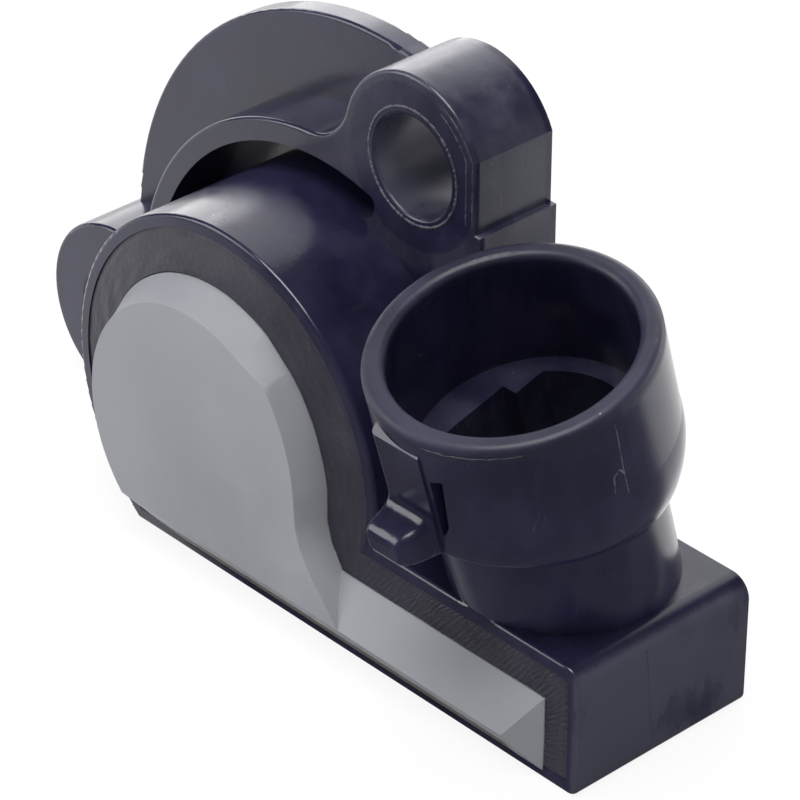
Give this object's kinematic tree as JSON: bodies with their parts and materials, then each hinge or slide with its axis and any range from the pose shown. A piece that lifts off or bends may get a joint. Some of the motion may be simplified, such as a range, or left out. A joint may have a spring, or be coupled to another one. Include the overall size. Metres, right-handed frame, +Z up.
{
  "type": "throttle position sensor",
  "caption": "Rotary potentiometer for a throttle shaft: drum body with screw ears, raised cover, leaning plug socket with lock ramp and a sprung rotor with a drive slot.",
  "frame": {"origin": "on the rotor's axis, in the rear mounting face", "axes": "+X along the rail towards the plug socket, +Y out of the mounting face towards the engine, +Z up, away from the flat base"},
  "size_m": [0.0544, 0.0194, 0.0332],
  "materials": {
    "housing": "satin moulded glass-filled plastic",
    "cover": "matte moulded plastic",
    "gasket": "matte",
    "board": "matte laminate",
    "carbon": "printed carbon",
    "silver": "printed silver",
    "terminal": "tinned strip",
    "rotor": "moulded acetal",
    "wiper": "spring strip",
    "spring": "drawn wire",
    "seal": "matte"
  },
  "bodies": {
    "sensor_body": {"housing": "housing", "cover": "cover", "cover_gasket": "gasket", "element_board": "board", "resistor_track": "carbon", "collector_track": "silver", "conductor_traces": "silver", "terminal_signal": "terminal", "terminal_ground": "terminal", "terminal_supply": "terminal", "return_spring": "spring", "shaft_seal": "seal"},
    "rotor": {"rotor": "rotor", "wiper": "wiper"}
  },
  "joints": [
    {"name": "rotor_turn", "type": "hinge", "parent": "sensor_body", "child": "rotor", "pos_m": [0, 0, 0], "axis": [0, -1, 0], "range_deg": [0, 95], "stiffness_Nm_per_rad": 0.012, "springref_deg": -34.38, "deforming": ["return_spring"]}
  ]
}
